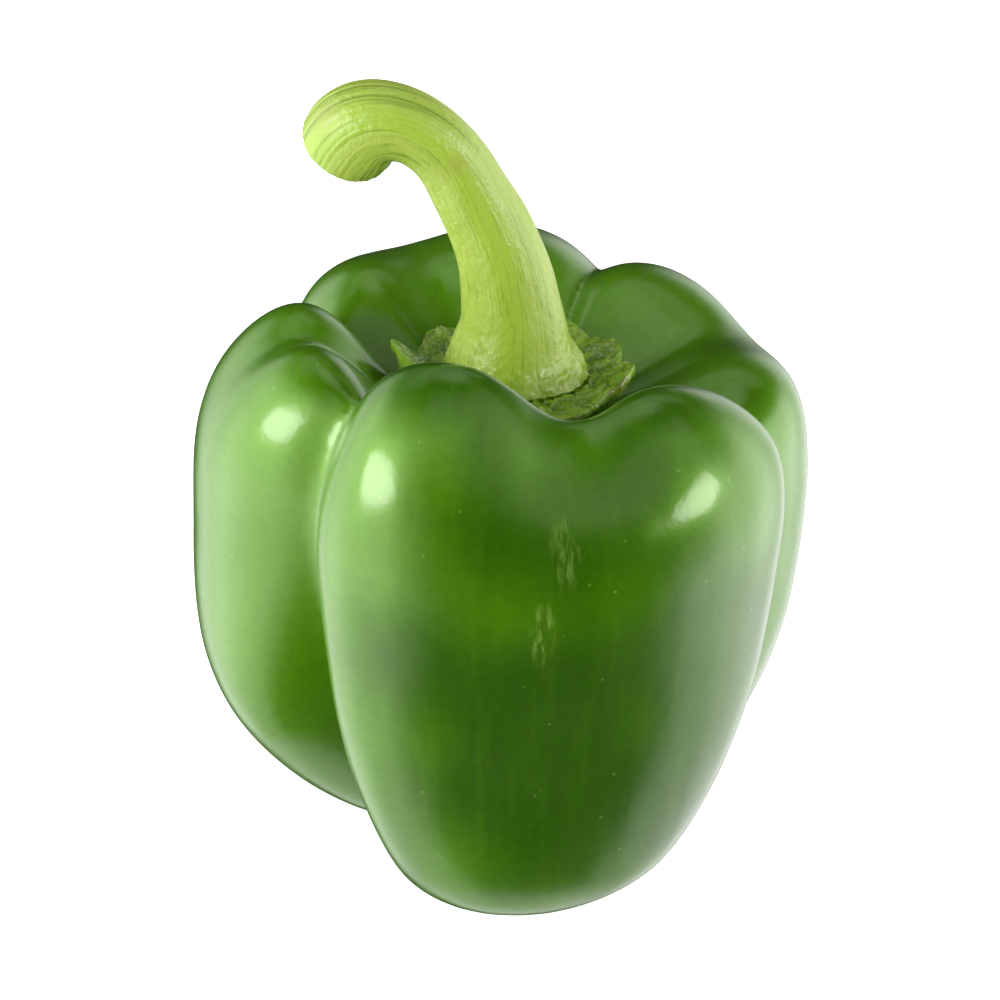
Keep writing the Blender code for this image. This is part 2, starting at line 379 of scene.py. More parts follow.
def mixed_waves(points, *parts):
    """Soft random fields added up, each given by its share, its mean length and its seed."""
    return sum(share * waves(points, length, seed) for share, length, seed in parts)


def rows_closer(count, density, low, high):
    """count values from low to high, packed where density, a function of the value, is larger."""
    fine = np.linspace(low, high, DENSITY_STEPS)
    weight = density(fine)
    total = np.concatenate([[0.0], np.cumsum((weight[1:] + weight[:-1]) / 2.0)])
    return np.interp(np.linspace(0.0, total[-1], count), total, fine)


def surface_normals(points):
    """Unit normals of a grid of points, rows by columns, whose columns go once round: the cross product of
    the two grid directions, pointing away from the fruit's middle."""
    around = np.roll(points, -1, axis=1) - np.roll(points, 1, axis=1)
    along = np.gradient(points, axis=0)
    normal = np.cross(along, around)
    normal /= np.maximum(np.linalg.norm(normal, axis=2, keepdims=True), 1e-9)
    return normal * np.sign((normal * (points - np.array(FRUIT_MIDDLE))).sum())


def on_axis(points):
    """The surface in its place in the frame, its first and last rows each closed to a point on the growing
    axis."""
    for row in (0, -1):
        points[row, :, :2] = 0.0
        points[row, :, 2] = points[row, :, 2].mean()
    return points + np.array([AXIS_X, AXIS_Y, 0.0])


def into_box(points, node):
    """Points brought inside the box of a CAD node, by a small stretch about its middle where they pass it."""
    low, high = (np.array(corner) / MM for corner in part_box(node))
    middle = (low + high) / 2.0
    reach = np.abs(points - middle).reshape(-1, 3).max(axis=0)
    share = np.minimum(1.0, (high - low) / 2.0 / reach)
    return middle + (points - middle) * share


def closed_rows(grid):
    """A grid's values, point by point: one for the first row, all of the inner rows, and one for the last."""
    width = grid.shape[2]
    ends = grid[:1, :1].reshape(1, width), grid[-1:, :1].reshape(1, width)
    return np.concatenate([ends[0], grid[1:-1].reshape(-1, width), ends[1]])


def tube_mesh(name, points, attributes):
    """A closed mesh from a grid of points, rows by columns. The columns go once round, and the first and last
    rows each close to one point. attributes are {name: grid of numbers or of vectors}, kept on the points."""
    rows, columns = points.shape[:2]
    vertices = closed_rows(points) * MM
    last = len(vertices) - 1
    here = np.arange(columns)
    after = (here + 1) % columns
    row = np.arange(rows - 3)[:, None] * columns + 1
    corners = [row + here, row + columns + here, row + columns + after, row + after]
    quads = np.stack(corners, axis=-1).reshape(-1, 4)
    top = np.stack([np.zeros_like(here), 1 + here, 1 + after], axis=1)
    low_row = 1 + (rows - 3) * columns
    bottom = np.stack([np.full_like(here, last), low_row + after, low_row + here], axis=1)
    mesh = bpy.data.meshes.new(name)
    mesh.from_pydata(vertices.tolist(), [], quads.tolist() + top.tolist() + bottom.tolist())
    mesh.shade_smooth()
    for label, grid in attributes.items():
        values = closed_rows(grid.reshape(rows, columns, -1)).astype(np.float32)
        kind, field = ("FLOAT", "value") if values.shape[1] == 1 else ("FLOAT_VECTOR", "vector")
        mesh.attributes.new(label, kind, "POINT").data.foreach_set(field, values.ravel())
    mesh.validate()
    mesh.update()
    return mesh


def make_piece(name, points, attributes, material, node, slot):
    """A shown piece of the pepper that stands for one CAD node, from its grid of points and attributes."""
    mesh = tube_mesh(name, points, attributes)
    mesh.materials.append(material)
    piece = bpy.data.objects.new(name, mesh)
    bpy.context.scene.collection.objects.link(piece)
    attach(piece, "root")
    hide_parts(node)
    return piece


# --- Surfaces ---


def ring_knots():
    """Fractions at which the rings lie: their mean distances along the profile, scaled to end at 1."""
    radii = np.mean(RING_RADII, axis=1)
    heights = np.mean(RING_HEIGHTS, axis=1)
    steps = np.hypot(np.diff(radii), np.diff(heights))
    return np.concatenate([[0.0], np.cumsum(steps)]) / steps.sum()


def groove_line(groove, fraction):
    """The azimuth that a groove's crease has at each fraction: it leans evenly from the crown to the base."""
    return between(*groove[:2], fraction)


def lobed_points(azimuth, fraction):
    """The fruit from its growing axis: the radius and the height are splines down the rings, mixed round the
    axis with squared cosines, and each groove is pressed in by its depth times exp(-distance**sharpness)."""
    knots = ring_knots()
    along = fraction[:, 0]
    share = [np.maximum(0.0, np.cos(np.radians(azimuth - side))) ** 2 for side in RING_AZIMUTHS]
    radii = np.array(RING_RADII)
    heights = np.array(RING_HEIGHTS)
    r = sum(spline(knots, radii[:, k], along)[:, None] * share[k] for k in range(4))
    z = sum(spline(knots, heights[:, k], along)[:, None] * share[k] for k in range(4))
    push = np.radians(spline(knots, PRESS_ANGLES, along))[:, None]
    depth_knots = [0.0, knots[1], knots[2], knots[3], knots[4], knots[6], 1.0]
    press = np.zeros_like(r)
    widened = smooth(knots[2], knots[4], along)[:, None]
    narrowed = smooth(*NARROWING, along)[:, None]
    for groove in GROOVES:
        left, left_base, right, sharp, crown, shoulder, belly, base, spread = groove[2:]
        off = wrapped(azimuth - groove_line(groove, fraction))
        off = off / np.where(off < 0.0, between(left, left_base, narrowed), right)
        off = off / (1.0 + spread * widened)
        shape = (off**2 + CREASE_ROUNDING**2) ** (sharp / 2.0) - CREASE_ROUNDING**sharp
        depths = [0.0, 0.5 * crown, crown, shoulder, belly, base, 0.0]
        press += np.maximum(spline(depth_knots, depths, along), 0.0)[:, None] * np.exp(-shape)
    r = np.maximum(r + press * np.cos(push), 0.0)
    z = z + press * np.sin(push) - FOOT_SINK
    angle = np.radians(azimuth)
    return np.stack([r * np.cos(angle), r * np.sin(angle), z], axis=-1)


def groove_distance(azimuth, fraction, radius):
    """Signed distance in millimetres across the skin to the nearest of the four grooves between lobes."""
    nearest = np.full(azimuth.shape, np.inf)
    for groove in GROOVES[:LOBE_GROOVES]:
        off = np.radians(wrapped(azimuth - groove_line(groove, fraction))) * radius
        nearest = np.where(np.abs(off) < np.abs(nearest), off, nearest)
    return nearest


def fruit_grid():
    """Azimuths and fractions of the fruit's grid, closer together at the grooves and the crest. The columns
    lean with the grooves, so that a groove's crease stays on one column."""
    lines = np.array([groove[0] for groove in GROOVES[:LOBE_GROOVES]])
    leans = np.array([groove[1] - groove[0] for groove in GROOVES[:LOBE_GROOVES]])

    def closer_round(az):
        near = sum(np.exp(-((wrapped(az - line) / GROOVE_FOCUS_WIDTH) ** 2)) for line in lines)
        return 1.0 + GROOVE_FOCUS * near

    def closer_along(t):
        return 1.0 + CROWN_FOCUS * np.exp(-(((t - CROWN_FOCUS_PLACE) / CROWN_FOCUS_WIDTH) ** 2))

    columns = rows_closer(FRUIT_AROUND + 1, closer_round, -180.0, 180.0)[:-1]
    rows = rows_closer(FRUIT_ALONG, closer_along, 0.0, 1.0)
    order = np.argsort(lines % FULL_TURN)
    lean = np.interp(columns, lines[order] % FULL_TURN, leans[order], period=FULL_TURN)
    fraction = np.repeat(rows[:, None], FRUIT_AROUND, axis=1)
    azimuth = columns[None, :] + fraction * lean[None, :]
    return azimuth, fraction


def skin_ribs(angle, fraction):
    """Faint ribs that run down from the stem: the mean of four cosines round the fruit, whose phases sway."""
    ribs = np.zeros_like(angle)
    draw = np.random.default_rng(RIB_SEED)
    for count in RIB_COUNTS:
        first, second = draw.uniform(0.0, 2.0 * math.pi, 2)
        sway = RIB_SWAY * np.sin(RIB_BENDS * fraction + second)
        ribs += np.cos(count * angle + first + sway) / len(RIB_COUNTS)
    return ribs


def tone_and_shade_share(angle, fraction, off, base):
    """How much darker green the skin is painted, from 0 to 1: painted shade most down the middle of the front
    lobe and some round the crest, least by the grooves, and the skin's own patchy tone all over."""
    front = np.cos(angle - math.radians(FRONT_LOBE))
    upper = UPPER_SHARE * smooth(*UPPER_FACING, front) * band(UPPER_BAND, fraction)
    lower = smooth(*LOWER_FACING, front) * band(LOWER_BAND, fraction)
    lobe = np.maximum(upper, lower) * smooth(*LOBE_CLEARANCE, np.abs(off))
    crest = band(CREST_BAND, fraction) * smooth(*CREST_CLEARANCE, np.abs(off))
    crest *= CREST_SHARE[0] + CREST_SHARE[1] * smooth(*CREST_FACING, front)
    patchy = 0.5 + mixed_waves(base, PATCH_WAVES)
    tone_and_shade = np.maximum(lobe, crest) * (PATCH_IN_SHADE[0] + PATCH_IN_SHADE[1] * patchy)
    return np.clip(tone_and_shade + PATCH_ELSEWHERE * patchy - PATCH_LEVEL, 0.0, 1.0)


def fruit_surface(settings):
    """The fruit's points and the attributes of its skin. To the lobed shape come a slow waviness, faint ribs
    that run down from the stem, and the puckered seams at the tops of the grooves, all along the normal."""
    azimuth, fraction = fruit_grid()
    base = lobed_points(azimuth, fraction)
    radius = np.hypot(base[..., 0], base[..., 1])
    angle = np.radians(azimuth)
    round_way = np.stack([np.cos(angle), np.sin(angle)], axis=-1)
    steps = np.linalg.norm(np.diff(base, axis=0), axis=2)
    run = np.concatenate([np.zeros((1, base.shape[1])), np.cumsum(steps, axis=0)])
    run = run.mean(axis=1, keepdims=True) * np.ones_like(run)
    open_skin = smooth(*RELIEF_EDGE, radius)
    off = groove_distance(azimuth, fraction, np.maximum(radius, SEAM_LEAST_RADIUS))
    seam_top = band(SEAM_BAND, fraction)
    puckers = np.stack([run / PUCKER_STRETCH[0], off / PUCKER_STRETCH[1]], axis=-1)
    pucker = mixed_waves(puckers, PUCKER_WAVES) + 0.5
    seam = np.exp(-((off / (SEAM_WIDTH[0] + SEAM_WIDTH[1] * pucker)) ** 2)) * seam_top
    rise = (
        settings.waviness / MM * (mixed_waves(base, *SLOW_WAVES) - RELIEF_LEVEL) * open_skin
        + settings.rib_height / MM * (skin_ribs(angle, fraction) - RELIEF_LEVEL) * open_skin
        - settings.seam_depth / MM * seam * (SEAM_SHARE[0] + SEAM_SHARE[1] * pucker)
    )
    points = base + surface_normals(base) * rise[..., None]
    points[..., 2] = np.maximum(points[..., 2], 0.0)
    attributes = {
        "skin": np.concatenate([round_way * SKIN_UNWRAPPED_RADIUS, run[..., None]], axis=-1),
        "seam": np.stack([off, run, seam_top], axis=-1),
        # painted shade on the front lobe and the crest, with the skin's own patchy darker tone
        "tone_and_shade": tone_and_shade_share(angle, fraction, off, base),
    }
    return into_box(on_axis(points), "fruit"), attributes


def tooth_share(azimuth):
    """How far each azimuth is into a tooth, 0 between teeth and 1 on its middle, and that tooth's radius and
    height."""
    teeth = np.array(TEETH)
    distance = np.abs(wrapped(azimuth[..., None] - teeth[:, 0]))
    nearest = distance.argmin(axis=-1)
    share = smooth(TOOTH_HALF_WIDTH, 0.0, distance.min(axis=-1))
    return share, teeth[nearest, 1], teeth[nearest, 2]


def crown_height(azimuth, radius):
    """Height of the fruit's crown under each point of the calyx: the fruit's own profile inside the crest."""
    fractions = np.linspace(0.0, ring_knots()[2], CALYX_CROWN_STEPS)
    around = np.repeat(azimuth[:1], len(fractions), axis=0)
    wall = lobed_points(around, np.repeat(fractions[:, None], azimuth.shape[1], axis=1))
    wall_r = np.hypot(wall[..., 0], wall[..., 1])
    heights = [np.interp(radius[:, k], wall_r[:, k], wall[:, k, 2]) for k in range(azimuth.shape[1])]
    return np.stack(heights, axis=1)


def fold_relief(azimuth, ring, radius):
    """The calyx's relief: worm-like folds that run round the stem, as a bent sine of the radius, crossed by a
    few ribs that run outwards, and a fine grain."""
    flat = ring * radius[..., None]
    bent = (radius + mixed_waves(flat, *FOLD_BEND)) * math.pi / FOLD_PITCH + mixed_waves(flat, *FOLD_SHIFT)
    folds = FOLD_SHARE * (FOLD_LEVEL - np.abs(np.sin(bent)) ** FOLD_POWER)
    spokes = np.stack([azimuth / SPOKE_STRETCH[0], radius / SPOKE_STRETCH[1]], axis=-1)
    return folds + mixed_waves(spokes, SPOKE_WAVES) + mixed_waves(flat, GRAIN_WAVES)


def calyx_surface(settings):
    """The calyx: a wrinkled top that runs from the middle out to a toothed edge, a wall about two millimetres
    deep, and an underside that goes back along the crown."""
    azimuths = np.linspace(-180.0, 180.0, CALYX_AROUND, endpoint=False)
    azimuth = np.repeat(azimuths[None, :], CALYX_ALONG, axis=0)
    fraction = np.repeat(np.linspace(0.0, 1.0, CALYX_ALONG)[:, None], CALYX_AROUND, axis=1)
    angle = np.radians(azimuth)
    share, tip_r, tip_z = tooth_share(azimuth)
    ring = np.stack([np.cos(angle), np.sin(angle)], axis=-1)
    ragged = mixed_waves(ring * CALYX_RING, *CALYX_RAGGED)
    edge = between(CALYX_GAP_RADIUS, tip_r, share) + ragged
    top_edge = between(CALYX_EDGE_Z, tip_z, share)
    over = fraction <= CALYX_TOP_SHARE
    out = np.where(over, np.sin(np.clip(fraction / CALYX_TOP_SHARE, 0.0, 1.0) * HALF_PI), 1.0)
    r_top = edge * out
    lift = np.maximum(0.0, (r_top - CALYX_FLAT_RADIUS) / (edge - CALYX_FLAT_RADIUS)) ** CALYX_LIFT_POWER
    relief = fold_relief(azimuth, ring, r_top)
    inside = smooth(*FOLD_EDGE, r_top) * (1.0 - FOLD_CALM * smooth(*FOLD_CALM_EDGE, out))
    z_top = between(CALYX_TOP_Z, top_edge, lift) + settings.wrinkle / MM * relief * inside
    z_edge = z_top - FOOT_SINK
    rim_z = z_edge[np.argmin(over[:, 0]) - 1][None, :]
    back = np.clip((fraction - CALYX_TOP_SHARE) / (1.0 - CALYX_TOP_SHARE), 0.0, 1.0)
    wall = np.clip(back / CALYX_WALL_SHARE, 0.0, 1.0)
    under = np.clip((back - CALYX_WALL_SHARE) / (1.0 - CALYX_WALL_SHARE), 0.0, 1.0)
    bulge = CALYX_BULGE * np.sin(wall * math.pi) - CALYX_LEAN * wall**2
    r_low = (edge + bulge) * np.cos(under * HALF_PI)
    crown = crown_height(azimuth, np.maximum(r_low, 0.0)) + CALYX_GAP
    low_z = np.maximum(CALYX_BASE_Z - FOOT_SINK, crown)
    wall_z = rim_z - between(CALYX_WALL, CALYX_TOOTH_WALL, share) * wall
    fall = smooth(*CALYX_FALL, under)
    under_z = np.maximum(low_z, wall_z) * (1.0 - fall) + low_z * fall
    side_z = np.maximum(wall_z, low_z * wall + rim_z * (1.0 - wall))
    r = np.where(over, r_top, r_low)
    z = np.where(over, z_edge, np.where(under > 0.0, under_z, side_z))
    points = np.concatenate([ring * r[..., None], z[..., None]], axis=-1)
    attributes = {
        # painted shade: darker where the folds sink, and on the underside
        "hollow_shade": np.where(over, np.clip(0.5 - relief, 0.0, 1.0), CALYX_UNDER_SHADE),
        "rim": smooth(0.0, 1.0, 1.0 - np.abs(edge - r) / CALYX_RIM) * smooth(*CALYX_RIM_EDGE, fraction),
        "outer": np.where(over, share * lift, share),
    }
    return into_box(on_axis(points), "calyx"), attributes


def stem_rows(length):
    """The stem's rows from the middle of its foot to the middle of its cut face, as four arrays: the fraction
    along the stem, the share of the radius, what is taken off the radius and how far the row moves on along
    the stem. The foot is flat, the rim is a quarter round, and the cut face is a shallow dish."""
    foot = np.linspace(0.0, 1.0, STEM_FOOT_ROWS, endpoint=False)
    body = np.linspace(0.0, 1.0 - STEM_RIM / length, STEM_ALONG)
    rim = np.linspace(0.0, HALF_PI, STEM_RIM_ROWS + 1)[1:]
    face = np.linspace(1.0, 0.0, STEM_FACE_ROWS + 1)[1:]
    dish = STEM_RIM - STEM_DISH * np.cos(face * HALF_PI)
    along = np.concatenate([foot * 0.0, body, rim * 0.0 + body[-1], face * 0.0 + body[-1]])
    share = np.concatenate([foot, body * 0.0 + 1.0, rim * 0.0 + 1.0, face])
    inset = np.concatenate([foot * 0.0, body * 0.0, STEM_RIM * (1.0 - np.cos(rim)), STEM_RIM * face])
    onward = np.concatenate([foot * 0.0, body * 0.0, STEM_RIM * np.sin(rim), dish])
    return along, share, inset, onward


def unit(vectors):
    """Rows of vectors, each brought to length 1."""
    return vectors / np.linalg.norm(vectors, axis=1)[:, None]


def stem_path(knots, centres, along):
    """The stem's centreline and, at each row, its direction and two directions square to it. The direction
    is upright at the foot."""
    path = np.stack([spline(knots, line, along) for line in centres], axis=-1)
    ahead = np.stack([spline(knots, line, np.minimum(along + STEM_REACH, 1.0)) for line in centres], axis=-1)
    behind = np.stack([spline(knots, line, np.maximum(along - STEM_REACH, 0.0)) for line in centres], axis=-1)
    level = (1.0 - smooth(*STEM_UPRIGHT, along))[:, None]
    tangent = unit(unit(ahead - behind) * (1.0 - level) + np.array([0.0, 0.0, 1.0]) * level)
    side = unit(np.cross(tangent, (0.0, 1.0, 0.0)))
    return path, tangent, side, np.cross(side, tangent)


def stem_waves(ring, run, share, radius, stretch, length, seed):
    """A soft random field over the stem's bark, unrolled on a round of this radius, its length stretched."""
    return share * waves(ring * radius + run * stretch, length, seed)


def stem_surface(settings):
    """The stem: sections square to a spline centreline, whose radius is a spline along the stem. It gets five
    soft ridges, fibres that grow towards the cut end, pebbles on the ridges near the foot, and a rounded rim
    round a dished cut face."""
    centres = np.array([STEM_X, STEM_Y, STEM_Z])
    spans = np.linalg.norm(np.diff(centres, axis=1), axis=0)
    length = spans.sum()
    knots = np.concatenate([[0.0], np.cumsum(spans)]) / length
    along, share, inset, onward = stem_rows(length)
    path, tangent, side, depth = stem_path(knots, centres, along)
    turn = np.linspace(0.0, 2.0 * math.pi, STEM_AROUND, endpoint=False)[None, :]
    s = along[:, None]
    twist = turn + STEM_TWIST * s
    ring = np.stack(np.broadcast_arrays(np.cos(twist), np.sin(twist), s * 0.0), axis=-1)
    run = np.stack(np.broadcast_arrays(0.0 * turn, 0.0 * turn, s * length), axis=-1)
    ridges = np.cos(STEM_RIDGES * twist + STEM_RIDGE_PHASE) * (1.0 - RIDGE_FADE * smooth(*RIDGE_EDGE, s))
    tip = smooth(*TIP_EDGE, s)
    fibres = sum(stem_waves(ring, run, *part) for part in FIBRE_WAVES)
    pebbles = stem_waves(ring, run, *PEBBLE_WAVES) * (1.0 - smooth(*PEBBLE_EDGE, s))
    foot = 1.0 - smooth(*FOOT_EDGE, s)
    skirt = (stem_waves(ring, run, *SKIRT_WAVES) - SKIRT_LEVEL) * foot
    rise = (
        settings.ridge_height / MM * ridges
        + settings.fibre_height / MM * fibres * between(FIBRE_LEAST, 1.0, tip)
        + settings.pebble_height / MM * pebbles * between(PEBBLE_LEAST, 1.0, np.maximum(ridges, 0.0))
        + settings.skirt_height / MM * skirt
        + stem_waves(ring, run, *SWELL_WAVES)
    )
    cut = (onward > 0.0)[:, None]
    face = ring * FIBRE_RADIUS * share[:, None, None]
    grain = mixed_waves(face, FACE_WAVES) * cut * (1.0 - share[:, None] ** 4)
    across = np.cos(turn)[..., None] * side[:, None, :]
    section = across + STEM_DEPTH * np.sin(turn)[..., None] * depth[:, None, :]
    wide = (spline(knots, STEM_RADII, along)[:, None] + rise) * share[:, None] - inset[:, None]
    points = path[:, None, :] + wide[..., None] * section
    points += (onward[:, None] + grain)[..., None] * tangent[:, None, :]
    points += np.array([AXIS_X, AXIS_Y, -FOOT_SINK])
    for row in (0, -1):
        points[row] = points[row].mean(axis=0)
    attributes = {
        "fibre": ring * FIBRE_RADIUS + run,
        "cut": (1.0 - share[:, None]) * cut * np.ones_like(turn),
        # painted shade: darker where the fibres sink
        "hollow_shade": np.clip(0.5 - HOLLOW_SHADE_SHARE * fibres * between(HOLLOW_SHADE_LEAST, 1.0, tip), 0.0, 1.0),
        "foot": foot * np.ones_like(turn),
        "stripe": np.cos(twist - math.radians(STRIPE_ANGLE)),
    }
    # the rows run from the foot to the tip, and are turned round so that faces point outwards
    return into_box(points[::-1], "stem"), {key: grid[::-1] for key, grid in attributes.items()}


# --- Finishes ---

# Scales of the patterns, in waves a metre. Those on the skin's run, the seams and the fibres are in waves a
# millimetre.
CLOUD_SCALE = (45.0, 45.0, 35.0)
STREAK_SCALE = (0.5, 0.5, 0.04)
MOTTLE_SCALE = 800.0
SPECK_SCALE = 230.0
SCRATCH_SCALE = (1.3, 1.3, 0.26)
STITCH_SCALE = (0.35, 1.3, 0.0)
PEEL_SCALE = 1400.0
DENT_SCALE = 240.0
WEAR_SCALE = 55.0
CALYX_PATCH_SCALE = 220.0
CALYX_DRY_SCALE = 500.0
CALYX_PEBBLE_SCALE = 1300.0
CRUMPLE_SCALE = 560.0
FINE_SCALE = (1.7, 1.7, 0.05)
BROAD_SCALE = (0.35, 0.35, 0.03)
THREAD_SCALE = (1.1, 1.1, 0.04)
WILT_SCALE = 420.0
STEM_PEBBLE_SCALE = (900.0, 900.0, 600.0)
# Heights of the bumps that are too fine for the mesh, in metres
PEEL_HEIGHT = 0.000012
DENT_HEIGHT = 0.00004
CALYX_PEBBLE_HEIGHT = 0.00006
CRUMPLE_HEIGHT = 0.0003
STEM_PEBBLE_HEIGHT = 0.0002
FINE_HEIGHT = 0.00012
# How far the skin's roughness varies to each side
WEAR = 0.05
# The sockets of a Mix node that belong to colours: the share and the two colours, and the mixed colour
MIX_INPUTS = (0, 6, 7)
MIX_OUTPUT = 2


class Nodes:
    """The nodes of a material or of the world while they are put together. Each call adds a node or a few,
    and returns the output that is used. A colour is three numbers."""

    def __init__(self, owner, base=WHITE):
        self.owner = owner
        owner.use_nodes = True
        self.tree = owner.node_tree
        self.base = base

    def add(self, kind, inputs=None, output=0, **options):
        node = self.tree.nodes.new(kind)
        for key, value in options.items():
            setattr(node, key, value)
        for key, value in (inputs or {}).items():
            self.put(node.inputs[key], value)
        return node.outputs[output]

    def put(self, socket, value):
        if isinstance(value, bpy.types.NodeSocket):
            self.tree.links.new(value, socket)
        elif socket.type == "RGBA":
            socket.default_value = (*value, 1.0)
        else:
            socket.default_value = value

    def objects(self):
        return self.add("ShaderNodeTexCoord", output="Object")

    def attribute(self, name, output="Fac"):
        return self.add("ShaderNodeAttribute", output=output, attribute_name=name)

    def scaled(self, vector, scale, offset=(0.0, 0.0, 0.0)):
        """A vector times a scale, which is one number or three, and then moved."""
        sizes = scale if isinstance(scale, tuple) else (scale,) * 3
        return self.add("ShaderNodeMapping", {"Vector": vector, "Scale": sizes, "Location": offset})

    def noise(self, vector, scale, detail=2.0, roughness=0.5, distortion=0.0):
        inputs = {"Vector": self.scaled(vector, scale), "Scale": 1.0, "Detail": detail}
        inputs.update({"Roughness": roughness, "Distortion": distortion})
        return self.add("ShaderNodeTexNoise", inputs)

    def ramp(self, value, low, high, start=0.0, end=1.0):
        inputs = {"Value": value, "From Min": low, "From Max": high, "To Min": start, "To Max": end}
        return self.add("ShaderNodeMapRange", inputs, interpolation_type="SMOOTHSTEP")

    def maths(self, operation, *values):
        return self.add("ShaderNodeMath", dict(enumerate(values)), operation=operation)

    def times(self, first, second):
        return self.maths("MULTIPLY", first, second)

    def centred(self, value, size=1.0):
        """A noise brought round zero and made this large."""
        return self.times(self.maths("SUBTRACT", value, 0.5), size)

    def distance(self, place, middle, reaches):
        """How far each point is from a middle, in units of the reach along each axis, both in millimetres."""
        centred = self.scaled(place, 1.0, tuple(-part * MM for part in middle))
        near = self.scaled(centred, tuple(1.0 / (reach * MM) for reach in reaches))
        return self.add("ShaderNodeVectorMath", {0: near}, output="Value", operation="LENGTH")

    def paint(self, share, colour, blend="MIX"):
        """Mixes a share of a colour into the base colour."""
        inputs = dict(zip(MIX_INPUTS, (share, self.base, colour)))
        self.base = self.add("ShaderNodeMix", inputs, MIX_OUTPUT, data_type="RGBA", blend_type=blend)

    def bump(self, height, distance, normal=None):
        inputs = {"Height": height, "Distance": distance, "Strength": 1.0}
        if normal is not None:
            inputs["Normal"] = normal
        return self.add("ShaderNodeBump", inputs)

    def finish(self, **sockets):
        """The material, with its base colour and these sockets of its Principled shader set or linked."""
        shader = self.tree.nodes["Principled BSDF"]
        for key, value in {"Base_Color": self.base, **sockets}.items():
            self.put(shader.inputs[key.replace("_", " ")], value)
        return self.owner

    def show(self, kind, shader):
        """The material or the world, with an output node of this kind that shows the shader."""
        self.put(self.tree.nodes.new(kind).inputs["Surface"], shader)
        return self.owner


def skin_finish(settings):
    """Glossy green skin under a clear waxy coat: painted shade as a darker green on the front lobe and the
    crest, soft patches, faint streaks that run down from the stem, fine mottling, pale specks and scuffs,
    pale broken lines in the seams, and an orange-peel surface."""
    n = Nodes(bpy.data.materials.new("green_skin"), settings.leaf_green)
    place = n.objects()
    skin = n.attribute("skin", "Vector")
    clouds = n.centred(n.noise(place, CLOUD_SCALE, 3.0, 0.6), 0.7)
    share = n.ramp(n.maths("ADD", n.attribute("tone_and_shade"), clouds), 0.0, 1.0)
    # painted shade: darker green on the front lobe and the crest, and in patches
    n.paint(share, settings.deep_and_shade_green)
    streaks = n.ramp(n.noise(skin, STREAK_SCALE, 3.0, 0.6), 0.45, 0.75, 0.0, 0.14)
    n.paint(streaks, settings.yellow_green)
    mottle = n.ramp(n.noise(place, MOTTLE_SCALE, 3.0, 0.6), 0.3, 0.7, 0.93, 1.07)
    n.paint(1.0, n.add("ShaderNodeCombineColor", {0: mottle, 1: mottle, 2: mottle}), "MULTIPLY")
    cell_inputs = {"Vector": n.scaled(place, SPECK_SCALE), "Scale": 1.0}
    cells = n.add("ShaderNodeTexVoronoi", cell_inputs, output="Distance")
    n.paint(n.ramp(cells, 0.03, 0.07, 0.25, 0.0), settings.speck_colour)
    scratches = n.ramp(n.noise(skin, SCRATCH_SCALE, 3.0, 0.65), 0.44, 0.68, 0.0, 0.6)
    for x, y, z, wide, high in SCUFFS:
        away = n.distance(place, (x, y, z), (wide, wide * SCUFF_DEPTH, high))
        n.paint(n.times(n.ramp(away, 0.3, 1.0, 1.0, 0.0), scratches), settings.scuff_colour)
    seam = n.attribute("seam", "Vector")
    across, _, top = n.add("ShaderNodeSeparateXYZ", {0: seam}).node.outputs
    near = n.ramp(n.maths("ABSOLUTE", across), 0.1, 0.9, 1.0, 0.0)
    line = n.times(n.times(near, top), n.ramp(n.noise(seam, STITCH_SCALE), 0.4, 0.6))
    n.paint(n.times(line, 0.5), settings.seam_colour)
    peel = n.bump(n.noise(place, PEEL_SCALE, 2.0, 0.6), PEEL_HEIGHT)
    normal = n.bump(n.noise(place, DENT_SCALE), DENT_HEIGHT, peel)
    rough = settings.gloss_roughness
    return n.finish(
        Roughness=n.ramp(n.noise(place, WEAR_SCALE, 3.0), 0.3, 0.7, rough - WEAR, rough + WEAR),
        Normal=normal, IOR=1.5, Specular_IOR_Level=0.6, Specular_Tint=(0.5, 1.0, 0.1),
        Coat_Weight=1.0, Coat_Roughness=0.14, Coat_IOR=1.36, Coat_Normal=normal, Sheen_Weight=0.2,
        Sheen_Roughness=0.1, Subsurface_Weight=0.1, Subsurface_Scale=0.002,
        Subsurface_Radius=(0.6, 1.0, 0.2),
    )


def calyx_finish(settings):
    """Wrinkled waxy green: paler in patches and out on the teeth, painted shade down in the creases and on
    the underside, with a thin brownish edge and a pebbled, glossy surface."""
    n = Nodes(bpy.data.materials.new("calyx_green"), settings.green)
    place = n.objects()
    patches = n.ramp(n.noise(place, CALYX_PATCH_SCALE, 3.0), 0.4, 0.7)
    pale = n.maths("MAXIMUM", patches, n.ramp(n.attribute("outer"), 0.3, 0.9, 0.0, 0.6))
    n.paint(pale, settings.pale_green)
    # painted shade in the creases and on the underside
    n.paint(n.ramp(n.attribute("hollow_shade"), 0.5, 1.0, 0.0, 0.8), settings.crease_shade_colour)
    dry = n.ramp(n.noise(place, CALYX_DRY_SCALE), 0.5, 0.62, 0.0, 0.7)
    n.paint(n.times(n.attribute("rim"), dry), settings.edge_colour)
    crumple = n.noise(place, CRUMPLE_SCALE, 3.0, 0.55, 0.6)
    pebbles = n.bump(n.noise(place, CALYX_PEBBLE_SCALE, 3.0, 0.6), CALYX_PEBBLE_HEIGHT)
    normal = n.bump(crumple, CRUMPLE_HEIGHT, pebbles)
    return n.finish(
        Roughness=n.ramp(crumple, 0.3, 0.7, 0.36, 0.2), Normal=normal, IOR=1.45, Coat_Weight=0.5,
        Coat_Roughness=0.12, Coat_IOR=1.4, Coat_Normal=normal, Subsurface_Weight=0.1,
        Subsurface_Scale=0.0015, Subsurface_Radius=(0.6, 1.0, 0.2),
    )


